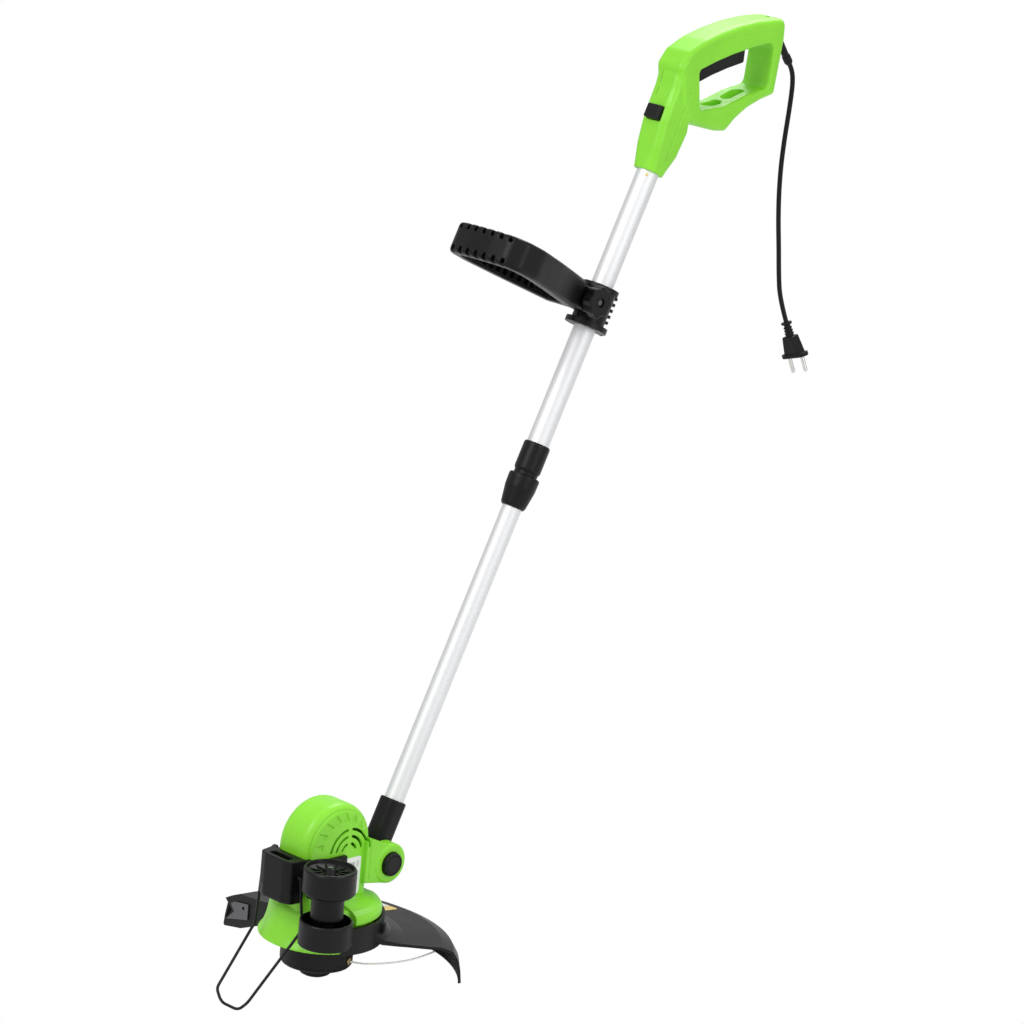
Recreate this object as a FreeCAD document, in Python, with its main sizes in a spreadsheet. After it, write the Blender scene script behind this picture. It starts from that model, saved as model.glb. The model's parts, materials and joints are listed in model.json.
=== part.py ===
import FreeCAD, Part
import math
import os
import Sketcher
from FreeCAD import Vector, Rotation, Placement

# Corded electric lawn edger: telescopic aluminium shaft, D-handle with trigger,
# tilting motor head with a bump-feed line spool, edging roller, wire plant guard.
# Frame: origin in the middle of the main grip, +X to the user, +Z up,
# the shaft lies in the XZ plane.  Millimetres.

os.makedirs("parts", exist_ok=True)
doc = FreeCAD.newDocument("lawn_edger")
sheet = doc.addObject("Spreadsheet::Sheet", "dims")


class Q:
    """A number together with the spreadsheet expression that drives it."""

    def __init__(self, val, ex):
        self.val = float(val)
        self.ex = ex

    @staticmethod
    def of(o):
        return o if isinstance(o, Q) else Q(o, repr(float(o)))

    def __add__(self, o):
        o = Q.of(o)
        return Q(self.val + o.val, "(%s + %s)" % (self.ex, o.ex))

    __radd__ = __add__

    def __sub__(self, o):
        o = Q.of(o)
        return Q(self.val - o.val, "(%s - (%s))" % (self.ex, o.ex))

    def __rsub__(self, o):
        return Q.of(o) - self

    def __mul__(self, o):
        o = Q.of(o)
        return Q(self.val * o.val, "(%s * (%s))" % (self.ex, o.ex))

    __rmul__ = __mul__

    def __truediv__(self, o):
        o = Q.of(o)
        return Q(self.val / o.val, "(%s / (%s))" % (self.ex, o.ex))

    def __neg__(self):
        return Q(-self.val, "(0 - %s)" % self.ex)


def num(x):
    return x.val if isinstance(x, Q) else float(x)


DIMS = [
    ("shaft_lean", 32.2), ("head_lean", 7.5),
    ("neck_x", -117.6), ("neck_z", -127.2),
    ("upper_od", 25.0), ("upper_bore", 22.1), ("lower_od", 22.0), ("lower_bore", 19.2),
    ("upper_top", 56.0), ("upper_bottom", -364.0),
    ("lower_top", -300.0), ("lower_bottom", -782.0),
    ("collar_od", 30.0), ("sleeve_od", 35.0), ("sleeve_tip_od", 27.5),
    ("pivot_pos", -804.6), ("pivot_x", 70.5), ("pivot_z", 121.8),
    ("grip_width", 40.0), ("wall_thick", 3.0),
    ("aux_pos", -159.0), ("aux_out", 34.0), ("aux_width", 34.0),
    ("cord_od", 5.5), ("pin_od", 4.8), ("pin_pitch", 19.0), ("pin_len", 19.0),
    ("dome_half", 24.0), ("dome_rad", 49.0), ("dome_x", -2.5), ("dome_z", 150.5),
    ("skirt_rad", 65.5), ("skirt_low", 47.0), ("skirt_top", 88.0),
    ("spool_od", 79.0), ("bump_od", 34.0),
    ("guard_rad", 158.0), ("guard_deck", 44.0),
    ("roller_x", -60.0), ("roller_y", -71.0), ("roller_od", 57.0), ("hub_od", 35.0),
    ("hoop_wire", 3.2), ("hoop_x", -62.0), ("hoop_z", 130.0),
    ("line_od", 2.0), ("button_od", 26.0),
]
V = {}
for i, (name, value) in enumerate(DIMS):
    cell = "A%d" % (i + 1)
    sheet.set(cell, repr(value))
    sheet.setAlias(cell, name)
    V[name] = Q(value, "dims.%s" % name)
doc.recompute()

S_ROT = Rotation(Vector(0, 1, 0), num(V["shaft_lean"]))
H_ROT = Rotation(Vector(0, 1, 0), num(V["head_lean"]))
S_POS = Vector(num(V["neck_x"]), 0, num(V["neck_z"]))
SHAFT = Placement(S_POS, S_ROT)
PIVOT = SHAFT.multVec(Vector(0, 0, num(V["pivot_pos"])))
H_POS = PIVOT - H_ROT.multVec(Vector(num(V["pivot_x"]), 0, num(V["pivot_z"])))
HEAD = Placement(H_POS, H_ROT)
WORLD = Placement()

NODES = []
_count = [0]


def uid(stem):
    _count[0] += 1
    return "%s_%d" % (stem, _count[0])


def bind(obj, prop, val):
    setattr(obj, prop, num(val))
    if isinstance(val, Q):
        obj.setExpression(prop, val.ex)


def cyl(r, z0, z1, x=0.0, y=0.0, axis="z", fine=None):
    """Cylinder from z0 to z1 along its axis."""
    o = doc.addObject("Part::Cylinder", uid("cyl"))
    bind(o, "Radius", r)
    bind(o, "Height", (z1 - z0))
    a, b = num(x), num(y)
    if axis == "z":
        o.Placement = Placement(Vector(a, b, num(z0)), Rotation())
    elif axis == "y":          # x, y mean x, z here and the span runs along Y
        o.Placement = Placement(Vector(a, num(z0), b), Rotation(Vector(1, 0, 0), -90))
    elif axis == "x":          # x, y mean y, z here and the span runs along X
        o.Placement = Placement(Vector(num(z0), a, b), Rotation(Vector(0, 1, 0), 90))
    return o


def cone(r0, r1, z0, z1, x=0.0, y=0.0):
    o = doc.addObject("Part::Cone", uid("cone"))
    bind(o, "Radius1", r0)
    bind(o, "Radius2", r1)
    bind(o, "Height", (z1 - z0))
    o.Placement = Placement(Vector(num(x), num(y), num(z0)), Rotation())
    return o


def box(x0, x1, y0, y1, z0, z1, rot=None):
    o = doc.addObject("Part::Box", uid("box"))
    bind(o, "Length", x1 - x0)
    bind(o, "Width", y1 - y0)
    bind(o, "Height", z1 - z0)
    pl = Placement(Vector(num(x0), num(y0), num(z0)), Rotation())
    o.Placement = pl if rot is None else rot.multiply(pl)
    return o


def cut(a, b):
    o = doc.addObject("Part::Cut", uid("cut"))
    o.Base, o.Tool = a, b
    return o


def fuse(*objs):
    if len(objs) == 1:
        return objs[0]
    o = doc.addObject("Part::MultiFuse", uid("fuse"))
    o.Shapes = list(objs)
    o.Refine = True
    return o


def common(a, b):
    o = doc.addObject("Part::MultiCommon", uid("common"))
    o.Shapes = [a, b]
    return o


def group(*objs):
    """Separate identical pieces kept as one node."""
    o = doc.addObject("Part::Compound", uid("group"))
    o.Links = list(objs)
    return o


def placed(o, pl):
    o.Placement = pl.multiply(o.Placement)
    return o


def sketch_lines(sk, pts):
    """Closed polygon, every corner dimensioned from the sketch origin."""
    n = len(pts)
    P = [Vector(num(a), num(b), 0) for a, b in pts]
    for i in range(n):
        sk.addGeometry(Part.LineSegment(P[i], P[(i + 1) % n]), False)
    for i in range(n):
        sk.addConstraint(Sketcher.Constraint("Coincident", i, 2, (i + 1) % n, 1))
    for i, (a, b) in enumerate(pts):
        for kind, c in (("DistanceX", a), ("DistanceY", b)):
            k = sk.addConstraint(Sketcher.Constraint(kind, -1, 1, i, 1, num(c)))
            if isinstance(c, Q):
                sk.setExpression("Constraints[%d]" % k, c.ex)


def plane_of(body, role):
    for f in body.Origin.OriginFeatures:
        if f.Role == role:
            return f
    raise ValueError(role)


def rev(pts, angle=360.0, start=0.0, stem="turned"):
    """PartDesign body turned about its own Z axis from a polygon of (radius, z)."""
    body = doc.addObject("PartDesign::Body", uid(stem))
    sk = body.newObject("Sketcher::SketchObject", uid("profile"))
    sk.AttachmentSupport = (plane_of(body, "XZ_Plane"), "")
    sk.MapMode = "FlatFace"
    sketch_lines(sk, pts)
    r = body.newObject("PartDesign::Revolution", uid("revolution"))
    r.Profile = sk
    r.ReferenceAxis = (sk, ["V_Axis"])
    r.Angle = angle
    r.Reversed = False
    body.Tip = r
    if start:
        body.Placement = Placement(Vector(), Rotation(Vector(0, 0, 1), start))
    return body


def pad(pts, z0, z1, plane="XY_Plane", stem="padded"):
    """PartDesign body padded from a polygon. XY_Plane: (x, y) along Z.
    XZ_Plane: (x, z) along Y."""
    body = doc.addObject("PartDesign::Body", uid(stem))
    sk = body.newObject("Sketcher::SketchObject", uid("profile"))
    sk.AttachmentSupport = (plane_of(body, plane), "")
    sk.MapMode = "FlatFace"
    sketch_lines(sk, pts)
    p = body.newObject("PartDesign::Pad", uid("pad"))
    p.Profile = sk
    bind(p, "Length", z1 - z0)
    body.Tip = p
    if plane == "XY_Plane":
        body.Placement = Placement(Vector(0, 0, num(z0)), Rotation())
    else:                       # the XZ plane's normal is -Y
        p.Reversed = True
        body.Placement = Placement(Vector(0, num(z0), 0), Rotation())
    return body


def rounded(pts):
    """Edges of a closed polygon of (x, y, corner radius) with tangent arcs."""
    n = len(pts)
    ent = []
    for i in range(n):
        p = Vector(pts[i][0], pts[i][1], 0)
        a = Vector(pts[i - 1][0], pts[i - 1][1], 0) - p
        b = Vector(pts[(i + 1) % n][0], pts[(i + 1) % n][1], 0) - p
        la, lb = a.Length, b.Length
        a.normalize()
        b.normalize()
        rad = pts[i][2]
        ang = a.getAngle(b)
        if rad <= 0 or abs(math.pi - ang) < 1e-4:
            ent.append((p, p, None))
            continue
        d = rad / math.tan(ang / 2)
        d = min(d, 0.48 * la, 0.48 * lb)
        rad = d * math.tan(ang / 2)
        m = (a + b)
        m.normalize()
        c = p + m * (rad / math.sin(ang / 2))
        ent.append((p + a * d, p + b * d, c - m * rad))
    edges = []
    for i in range(n):
        s0, s1, mid = ent[i]
        if mid is not None:
            edges.append(Part.Arc(s0, mid, s1))
        nxt = ent[(i + 1) % n][0]
        if (nxt - s1).Length > 1e-6:
            edges.append(Part.LineSegment(s1, nxt))
    return edges


def prism(pts, y0, y1, axis="y", stem="prism"):
    """Extrusion of a rounded polygon. axis y: (x, z) drawn, from y0 to y1.
    axis z: (x, y) drawn, from y0 to y1."""
    sk = doc.addObject("Sketcher::SketchObject", uid("outline"))
    sk.addGeometry(rounded(pts), False)
    if axis == "y":
        sk.Placement = Placement(Vector(0, num(y0), 0), Rotation(Vector(1, 0, 0), 90))
        direction = Vector(0, 1, 0)
    else:
        sk.Placement = Placement(Vector(0, 0, num(y0)), Rotation())
        direction = Vector(0, 0, 1)
    e = doc.addObject("Part::Extrusion", uid(stem))
    e.Base = sk
    e.DirMode = "Custom"
    e.Dir = direction
    e.Solid = True
    bind(e, "LengthFwd", y1 - y0)
    return e


def inset(pts, w):
    """Polygon of (x, y, r) moved inwards by w (counter-clockwise or not)."""
    n = len(pts)
    area = sum(pts[i][0] * pts[(i + 1) % n][1] - pts[(i + 1) % n][0] * pts[i][1] for i in range(n))
    sgn = 1.0 if area > 0 else -1.0
    lines = []
    for i in range(n):
        x0, y0 = pts[i][0], pts[i][1]
        x1, y1 = pts[(i + 1) % n][0], pts[(i + 1) % n][1]
        L = math.hypot(x1 - x0, y1 - y0)
        nx, ny = -(y1 - y0) / L * sgn, (x1 - x0) / L * sgn
        lines.append((x0 + nx * w, y0 + ny * w, x1 - x0, y1 - y0))
    out = []
    for i in range(n):
        ax, ay, adx, ady = lines[i - 1]
        bx, by, bdx, bdy = lines[i]
        den = adx * bdy - ady * bdx
        if abs(den) < 1e-9:
            x, y = bx, by
        else:
            k = ((bx - ax) * bdy - (by - ay) * bdx) / den
            x, y = ax + k * adx, ay + k * ady
        convex = (adx * bdy - ady * bdx) * sgn > 0
        r = pts[i][2]
        r = max(0.6, r - w) if convex else (r + w if r > 0 else 0.0)
        out.append((x, y, r))
    return out


def fillet_where(o, radius, test):
    """Fillet the edges whose ends and middle pass the test."""
    doc.recompute()
    picks = []
    for k, e in enumerate(o.Shape.Edges):
        pts = [v.Point for v in e.Vertexes] + [e.valueAt((e.FirstParameter + e.LastParameter) / 2)]
        if all(test(p) for p in pts):
            picks.append((k + 1, float(radius), float(radius)))
    f = doc.addObject("Part::Fillet", uid("fillet"))
    f.Base = o
    f.Edges = picks
    doc.recompute()
    if f.Shape.isNull() or not f.Shape.isValid():
        raise RuntimeError("fillet failed on %s with %d edges" % (o.Name, len(picks)))
    return f


def feature(shape, stem="shape"):
    o = doc.addObject("Part::Feature", uid(stem))
    o.Shape = shape
    return o


def node(label, obj, pl=WORLD):
    """Name a finished piece and put it where it sits."""
    doc.recompute()
    base = obj.Placement
    obj.Placement = pl.multiply(base)
    obj.Label = label
    NODES.append((label, obj))
    return obj


def route_wire(points):
    """Straight runs joined by tangent arcs, each arc as large as its runs allow."""
    P = [Vector(*p) for p in points]
    n = len(P)
    edges, radii = [], []
    last = P[0]
    for i in range(1, n - 1):
        a, b = P[i - 1] - P[i], P[i + 1] - P[i]
        short = min(a.Length, b.Length)
        turn = math.pi - a.getAngle(b)
        rad = 0.45 * short / math.tan(turn / 2)
        d = 0.45 * short
        ua, ub = Vector(a).normalize(), Vector(b).normalize()
        p0, p1 = P[i] + ua * d, P[i] + ub * d
        m = Vector(ua + ub).normalize()
        mid = P[i] + m * (rad / math.cos(turn / 2) - rad)
        edges.append(Part.LineSegment(last, p0).toShape())
        edges.append(Part.Arc(p0, mid, p1).toShape())
        radii.append(rad)
        last = p1
    edges.append(Part.LineSegment(last, P[-1]).toShape())
    return Part.Wire(edges), radii


def tube_on(points, dia, name):
    """Round bar swept along the route; its volume is checked against its length."""
    wire, radii = route_wire(points)
    t = wire.Edges[0].tangentAt(wire.Edges[0].FirstParameter)
    prof = Part.Wire([Part.Circle(Vector(*points[0]), t, dia / 2).toShape()])
    solid = wire.makePipeShell([prof], True, False, 2)
    want = math.pi * dia * dia / 4 * wire.Length
    print("%s length %.1f radii %s volume ratio %.4f" % (
        name, wire.Length, [round(r, 1) for r in radii], solid.Volume / want))
    if abs(solid.Volume / want - 1) > 0.02:
        raise RuntimeError("sweep volume is off: " + name)
    return solid


def coil(radius, wire_d, pitch, turns):
    """Compression spring along +Z from z = 0."""
    h = Part.makeHelix(pitch, pitch * turns, radius)
    prof = Part.Wire([Part.makeCircle(wire_d / 2, Vector(radius, 0, 0), Vector(0, 1, 0))])
    sol = Part.Wire(h.Edges).makePipeShell([prof], True, True)
    sol.translate(Vector(0, 0, wire_d / 2))
    return sol


def coil_runs(radius, wire_d, pitch, turns):
    """A spring that is wide for its wire, wound in short tangent runs."""
    n = 10
    ring = radius * 1.02
    pts = [(ring * math.cos(2 * math.pi * k / n), ring * math.sin(2 * math.pi * k / n), wire_d / 2 + 0.15 + pitch * k / n)
           for k in range(n * turns + 1)]
    return tube_on(pts, wire_d, "coil")


# ---------------------------------------------------------------- handle shells
half = V["grip_width"] / 2
frame_pts = [
    (-86, -12, 10), (-72, 2, 14), (-46, 10.5, 60), (-18, 15, 90), (12, 17.6, 120), (44, 17.4, 120),
    (70, 14.6, 40), (87, 12, 9), (85.2, -10, 60), (77, -41, 90), (69, -71.5, 5), (47, -74, 60),
    (25, -79, 40), (5, -87.5, 40), (-11.5, -98.5, 4), (-27, -95.5, 40), (-46, -88.5, 60),
    (-70, -78, 6), (-84, -60, 20)]
open_pts = [(-56, -21.5, 5), (-28, -16.5, 80), (0, -13.2, 90), (28, -11.6, 90), (67, -11.2, 9),
            (63, -33, 60), (56.5, -61.5, 8), (22, -63.2, 40), (-14, -69.2, 40), (-54.5, -66.4, 5)]

outer = prism(frame_pts, -half, half, stem="frame_outer")
outer = fillet_where(outer, 7.0, lambda p: abs(abs(p.y) - num(half)) < 0.01)
opening = prism(open_pts, -half - 5, half + 5, stem="frame_opening")

# neck around the shaft: sections along the shaft, local frame z = shaft axis
def neck_section(t, x0, x1, y, r, grow=0.0):
    x0, x1, y, r = x0 - grow, x1 + grow, y + grow, max(1.0, r + grow)
    sk = doc.addObject("Sketcher::SketchObject", uid("neck_section"))
    sk.addGeometry(rounded([(x0, -y, r), (x1, -y, r), (x1, y, r), (x0, y, r)]), False)
    sk.Placement = Placement(Vector(0, 0, t), Rotation())
    return sk


def loft(sections, ruled=False):
    o = doc.addObject("Part::Loft", uid("neck"))
    o.Sections = sections
    o.Solid = True
    o.Ruled = ruled
    return o


NECK = [(0, -15.4, 15.4, 15.2, 12), (7, -16.6, 15.8, 15.8, 11), (26, -20.6, 19.6, 17.6, 9),
        (56, -26.0, 20.0, 18.2, 8), (92, -27.5, 8.0, 18.2, 8), (122, -33.0, -9.0, 18.0, 7.9)]
neck_low = loft([neck_section(*s) for s in NECK[:3]], True)
neck_high = loft([neck_section(*s) for s in NECK[2:]], True)
neck = fuse(neck_low, neck_high)
neck = fillet_where(neck, 5.0, lambda p: p.z > 121.9)
neck.Placement = SHAFT
body_outer = cut(fuse(outer, neck), opening)
body_outer = fillet_where(body_outer, 4.0, lambda p: abs(abs(p.y) - num(half)) < 0.01 and -60 < p.x < 70 and -72 < p.z < -9)

# hollow inside
w = num(V["wall_thick"])
hollow_ring = cut(prism(inset(frame_pts, w + 0.4), -half + w, half - w),
                  prism(inset(open_pts, -w), -half, half))
NECK_IN = [(14, -14.6, 14.4, 13.9, 9), (26, -17.6, 16.6, 14.7, 7), (56, -22.8, 16.4, 15.2, 6)]
NECK_IN2 = [(56, -22.8, 16.4, 15.2, 6), (92, -24.4, 5.0, 15.2, 6), (117, -29.0, -8.0, 15.0, 5)]
hol_a = loft([neck_section(*s) for s in NECK_IN], True)
hol_b = loft([neck_section(*s) for s in NECK_IN2], True)
hol_n = fuse(hol_a, hol_b)
# a bearing rib is left at 40..44 along the shaft
rib_gap = box(-40, 40, -30, 30, 40, 44)
hol_n = cut(hol_n, rib_gap)
hol_n.Placement = SHAFT
bore = cyl(V["upper_od"] / 2 + 0.06, -2, 48)
bore.Placement = SHAFT.multiply(bore.Placement)
# window for the lock button, in shaft coordinates
win = box(-40, -15, -10.3, 10.3, 52.7, 69.3)
win.Placement = SHAFT.multiply(win.Placement)
trig_slot = box(-54.6, 33.2, -8.3, 8.3, -34, -2)
hook_a = prism([(-30, -8, 7.9), (-4, -8, 7.9), (-4, 8, 7.9), (-30, 8, 7.9)], -110, -55, axis="z")
hook_b = prism([(2.5, -7.5, 7.4), (34, -7.5, 7.4), (34, 7.5, 7.4), (2.5, 7.5, 7.4)], -110, -55, axis="z")
CORD_ROT = Rotation(Vector(0, 1, 0), 180 - 32)        # +Z turned to run down and to the rear
CORD_OUT = Vector(82.0, 0, 4.0)
cord_hole = fuse(cyl(4.15, -14, 2.2), cyl(5.4, 1.8, 40))
cord_hole.Placement = Placement(CORD_OUT, CORD_ROT)
hook_walls = cut(fuse(prism([(-32.5, -10.5, 10.3), (-1.5, -10.5, 10.3), (-1.5, 10.5, 10.3), (-32.5, 10.5, 10.3)], -104, -58, axis="z"),
                      prism([(0.0, -10, 9.8), (36.5, -10, 9.8), (36.5, 10, 9.8), (0.0, 10, 9.8)], -104, -58, axis="z")),
                 fuse(hook_a, hook_b))
hook_walls = common(hook_walls, prism(inset(frame_pts, 1.0), -half, half))
hook_walls = cut(hook_walls, prism(inset(open_pts, -1.0), -half, half))

SCREWS = [(-74.5, -33.0), (-70.0, -66.0), (-41.0, -79.0), (62.6, -66.6), (73.0, 0.0), (-56.0, -10.0)]
bosses = []
for (a, b) in SCREWS[:5]:
    bosses.append(cyl(4.2, -half + 1.5, half - 1.5, a, b, axis="y"))
shell = cut(body_outer, fuse(hollow_ring, hol_n, bore, win, trig_slot, cord_hole))
boss_all = common(fuse(*bosses), body_outer)
shell = fuse(shell, hook_walls, boss_all)
shell = cut(shell, fuse(hook_a, hook_b))
holes = []
for (a, b) in SCREWS[:5]:
    holes.append(cyl(1.62, -12, 25, a, b, axis="y"))
    holes.append(cyl(3.6, num(half) - 7, 30, a, b, axis="y"))
shell = cut(shell, fuse(*holes))
doc.recompute()
cut_left = box(-250, 150, -60, -0.0, -300, 60)
cut_right = box(-250, 150, 0.0, 60, -300, 60)
node("handle_shell_left", common(shell, cut_left))
node("handle_shell_right", common(shell, cut_right))

scr = []
for (a, b) in SCREWS[:5]:
    s1 = cyl(1.55, -10.5, num(half) - 7, a, b, axis="y")
    s2 = cyl(3.3, num(half) - 7, num(half) - 4.4, a, b, axis="y")
    scr.append(cut(fuse(s1, s2), box(a - 2.6, a + 2.6, num(half) - 5.6, num(half), b - 0.45, b + 0.45)))
node("handle_screws", group(*scr))

# ---------------------------------------------------------------- trigger
trig_pts = [(-63.5, -13.4, 3), (-63.5, -6, 3), (-54, -4.6, 3), (31.2, -5.6, 1.5), (31.2, -14, 0), (28.6, -29.4, 2.5),
            (2, -31.2, 80), (-24, -34.4, 80), (-50, -39.4, 2.5), (-53.0, -22, 2), (-53.4, -15.2, 1)]
trig = prism(trig_pts, -7.9, 7.9, stem="trigger")
trig = fillet_where(trig, 1.6, lambda p: abs(abs(p.y) - 7.9) < 0.01 and p.z < -14)
TRIG_PIN = (-59.4, -9.6)
trig = cut(trig, cyl(1.56, -10, 10, TRIG_PIN[0], TRIG_PIN[1], axis="y"))
node("trigger", trig)
node("trigger_pin", cyl(1.5, -14.5, 14.5, TRIG_PIN[0], TRIG_PIN[1], axis="y"))
node("trigger_spring", feature(coil(3.4, 0.8, 2.9, 5), "spring"), Placement(Vector(-36, 0, -4.6), Rotation()))
sw = fuse(box(-14, 14, -8, 8, 0.8, 11), box(-4, 4, -2.5, 2.5, 0.0, 0.8), box(-11, -9.6, -3, 3, 11, 11.8), box(9.6, 11, -3, 3, 11, 11.8))
node("mains_switch", sw)

# ---------------------------------------------------------------- shaft lock button
cap = prism([(-32.2, -9.9, 1.6), (-21.6, -9.9, 0.5), (-21.6, 9.9, 0.5), (-32.2, 9.9, 1.6)], 53.1, 68.9, axis="z")
cap = fillet_where(cap, 1.4, lambda p: p.x < -28 and (abs(p.z - 53.1) < 0.01 or abs(p.z - 68.9) < 0.01))
lock = fuse(cap, box(-22, -7, -3.4, 3.4, 65.0, 68.4), box(-22, -14.3, -2.9, 2.9, 62.0, 65.2), box(-16.2, -14.3, -2.9, 2.9, 58.6, 65.2))
lock = fuse(lock, box(-9, -7, -5, 5, 64.0, 70.0))
node("shaft_lock_button", lock, SHAFT)
node("shaft_lock_spring", feature(coil(2.2, 0.6, 2.3, 4), "spring"),
     SHAFT.multiply(Placement(Vector(-6.9, 0, 67.0), Rotation(Vector(0, 1, 0), 90))))

# ---------------------------------------------------------------- upper shaft
R1 = V["upper_od"] / 2
node("upper_shaft_tube", rev([(V["upper_bore"] / 2, V["upper_bottom"]), (R1, V["upper_bottom"]), (R1, V["upper_top"]),
                              (V["upper_bore"] / 2, V["upper_top"])], stem="upper_tube"), SHAFT)
ring = rev([(12.5, 46.5), (13.9, 46.5), (13.9, 64.0), (11.0, 64.0), (11.0, 56.2), (12.5, 56.2)], stem="index_ring")
notch = [box(-16, -9, -3.2, 3.2, 58, 66), box(9, 16, -3.2, 3.2, 58, 66), box(-3.2, 3.2, -16, -9, 58, 66), box(-3.2, 3.2, 9, 16, 58, 66)]
node("shaft_index_ring", cut(ring, fuse(*notch)), SHAFT)
dot = cyl(1.6, 0, 0.5)
dot.Placement = Placement(Vector(-12.53 * math.cos(math.radians(40)), -12.53 * math.sin(math.radians(40)), -5.2),
                          Rotation(Vector(0, 0, 1), Vector(-math.cos(math.radians(40)), -math.sin(math.radians(40)), 0)))
node("index_mark", dot, SHAFT)
RC = V["collar_od"] / 2
collar = rev([(R1, -322.5), (RC - 1.6, -322.5), (RC - 0.4, -323.4), (RC, -325.5), (RC, -352.6), (RC - 1.0, -355.2),
              (RC - 1.7, -355.6), (13.35, -356.4), (13.35, V["upper_bottom"]), (R1, V["upper_bottom"])], stem="collar")
node("upper_lock_collar", collar, SHAFT)
collet = rev([(11.08, -385.5), (12.4, -385.5), (13.2, -381.0), (13.2, -364.6), (11.08, -364.6)], stem="collet")
slits = [box(-20, 20, -0.8, 0.8, -390, -369), box(-0.8, 0.8, -20, 20, -390, -369)]
node("lock_collet", cut(collet, fuse(*slits)), SHAFT)

# ---------------------------------------------------------------- twist sleeve
RS = V["sleeve_od"] / 2
RT = V["sleeve_tip_od"] / 2
sleeve = rev([(13.6, -359.6), (RS - 1.6, -359.6), (RS - 0.3, -360.6), (RS, -362.6), (RS - 0.3, -374.5), (RT + 0.5, -394.2),
              (RT - 1.1, -397.0), (11.12, -397.0), (11.12, -387.0), (13.6, -387.0)], stem="sleeve")
node("twist_lock_sleeve", sleeve, SHAFT)

# ---------------------------------------------------------------- lower shaft
R2 = V["lower_od"] / 2
node("lower_shaft_tube", rev([(V["lower_bore"] / 2, V["lower_bottom"]), (R2, V["lower_bottom"]), (R2, V["lower_top"]),
                              (V["lower_bore"] / 2, V["lower_top"])], stem="lower_tube"), SHAFT)
PZ = num(V["pivot_pos"])
sock = prism([(-13, -13, 9), (13, -13, 9), (13, 13, 9), (-13, 13, 9)], PZ + 12, -739.4, axis="z")
sock = fillet_where(sock, 1.5, lambda p: p.z > -739.6)
knuckle = cyl(16.0, -14.3, 14.3, 0, V["pivot_pos"], axis="y")
waist = box(-12.6, 12.6, -12.8, 12.8, PZ, PZ + 14)
sock = cut(fuse(sock, knuckle, waist), fuse(cyl(R2 + 0.0, V["lower_bottom"], -730), cyl(4.06, -20, 20, 0, V["pivot_pos"], axis="y"),
                                              cyl(5.0, PZ + 8, -780)))
node("shaft_pivot_socket", sock, SHAFT)

# ---------------------------------------------------------------- auxiliary handle
AZ = num(V["aux_pos"])
AX = -num(V["aux_out"])
clamp = fuse(cyl(18.6, -178.5, -136), cyl(24.0, -184.5, -178.5), cyl(20.6, -141, -136),
             prism([(AX - 12.5, AZ - 12.5, 12.4), (-12, AZ - 12.5, 0), (-12, AZ + 12.5, 0), (AX - 12.5, AZ + 12.5, 12.4)], -10.8, 10.8),
             cyl(3.6, 14, 30, 0, -181.0, axis="x"))
teeth = []
for k in range(5):
    tt = box(17.5, 21.6, -10, 10, -172 + 7.0 * k, -168.6 + 7.0 * k)
    teeth.append(tt)
clamp = fuse(clamp, *teeth)
clamp = cut(clamp, fuse(cyl(R1 + 0.08, -200, -120), cyl(3.1, -20, 20, AX, AZ, axis="y"), box(AX - 20, -8, -0.9, 0.9, -190, -130)))
node("aux_clamp", clamp, SHAFT)
bolt = fuse(cyl(3.0, -37, 20.4, AX, AZ, axis="y"), prism([(AX + 5.6 * math.cos(math.radians(60 * k)), AZ + 5.6 * math.sin(math.radians(60 * k)), 0) for k in range(6)], 20.0, 24.4))
node("aux_clamp_bolt", bolt, SHAFT)

kp = []
for k in range(16):
    a = math.radians(22.5 * k + 11.25)
    rr = 18.6 if k % 2 == 0 else 15.6
    kp.append((AX + rr * math.cos(a), AZ + rr * math.sin(a), 3.2))
knob = prism(kp, -38.5, -27.0)
knob = fillet_where(knob, 1.5, lambda p: abs(p.y + 38.5) < 0.01)
knob = fuse(knob, cyl(11.0, -27.2, -20.3, AX, AZ, axis="y"))
knob = cut(knob, fuse(cyl(3.05, -40, -19, AX, AZ, axis="y"), cyl(5.2, -39, -36.0, AX, AZ, axis="y")))
node("aux_clamp_knob", knob, SHAFT)

# loop in a plane through the bolt, leaning a little; local frame x outwards, z along the tube
LOOP = SHAFT.multiply(Placement(Vector(AX, 0, AZ), Rotation(Vector(0, 1, 0), 180.0)))
# local x now points away from the shaft, local z points down the shaft
hw = V["aux_width"] / 2
loop_pts = [(14, -21, 8), (34, -28, 16), (84, -44, 60), (130, -55, 36), (156, -53, 15), (170, -40, 17), (174, -14, 60),
            (174, 14, 60), (170, 40, 17), (156, 53, 15), (130, 55, 36), (84, 44, 60), (34, 28, 16), (14, 21, 8)]
ring_o = prism(loop_pts, -hw, hw, axis="z")
ring_o = fillet_where(ring_o, 4.5, lambda p: abs(abs(p.z) - num(hw)) < 0.01)
ring_i = prism(inset(loop_pts, 14.5), -hw - 5, hw + 5, axis="z")
groove = prism(inset(loop_pts, 4.0), -hw + 4.0, hw - 4.0, axis="z")
loop = cut(cut(ring_o, ring_i), groove)
ribs = []
for k in range(9):
    x = 118 + 7.2 * k
    if x < 176:
        ribs.append(box(x, x + 2.2, -70, 70, -num(hw) + 1, num(hw) - 1))
for k in range(7):
    x = 50 + 9.4 * k
    ribs.append(box(x, x + 2.2, -70, 70, -num(hw) + 1, num(hw) - 1))
for k in range(-5, 6):
    ribs.append(box(150, 180, 7.6 * k - 1.1, 7.6 * k + 1.1, -num(hw) + 1, num(hw) - 1))
rib_all = common(fuse(*ribs), prism(inset(loop_pts, 2.0), -hw + 1, hw - 1, axis="z"))
rib_all = cut(rib_all, prism(inset(loop_pts, 11.0), -hw - 5, hw + 5, axis="z"))
loop = fuse(loop, rib_all)
notches = []
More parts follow.
